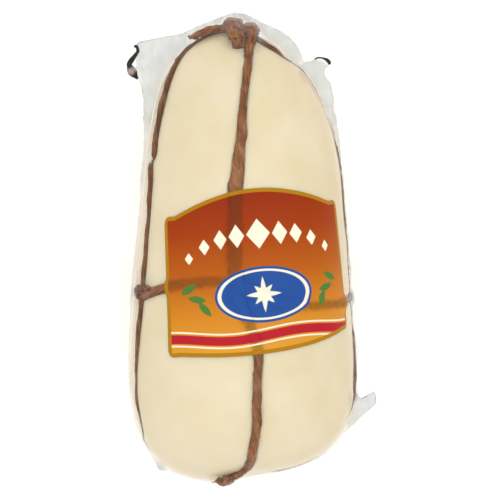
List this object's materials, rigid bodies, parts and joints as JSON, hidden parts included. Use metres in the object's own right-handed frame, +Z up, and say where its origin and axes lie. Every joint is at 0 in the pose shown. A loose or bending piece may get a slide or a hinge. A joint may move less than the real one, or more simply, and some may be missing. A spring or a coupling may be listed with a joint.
{
  "type": "provola cheese",
  "caption": "Long pear-shaped stretched-curd cheese, tied with brown twine and vacuum-packed in clear film with a printed label, lying on its back.",
  "frame": {"origin": "on the floor under the middle of the pack's bounding box", "axes": "+Z up through the labelled front, +Y towards the knotted head, +X to the right as seen from above with the head away"},
  "size_m": [0.1094, 0.205, 0.0857],
  "materials": {
    "cheese_skin": "smooth pale cream stretched-curd skin, faintly translucent",
    "paper_twine": "brown twisted paper fibre",
    "printed_label": "orange printed film, gloss",
    "clear_film": "clear shrink film",
    "dark_film_edge": "dark rolled film edge, gloss"
  },
  "bodies": {
    "root": {"cheese": "cheese_skin", "twine": "paper_twine", "label": "printed_label", "film": "clear_film", "film_roll_left": "dark_film_edge", "film_roll_right": "dark_film_edge"}
  },
  "joints": []
}
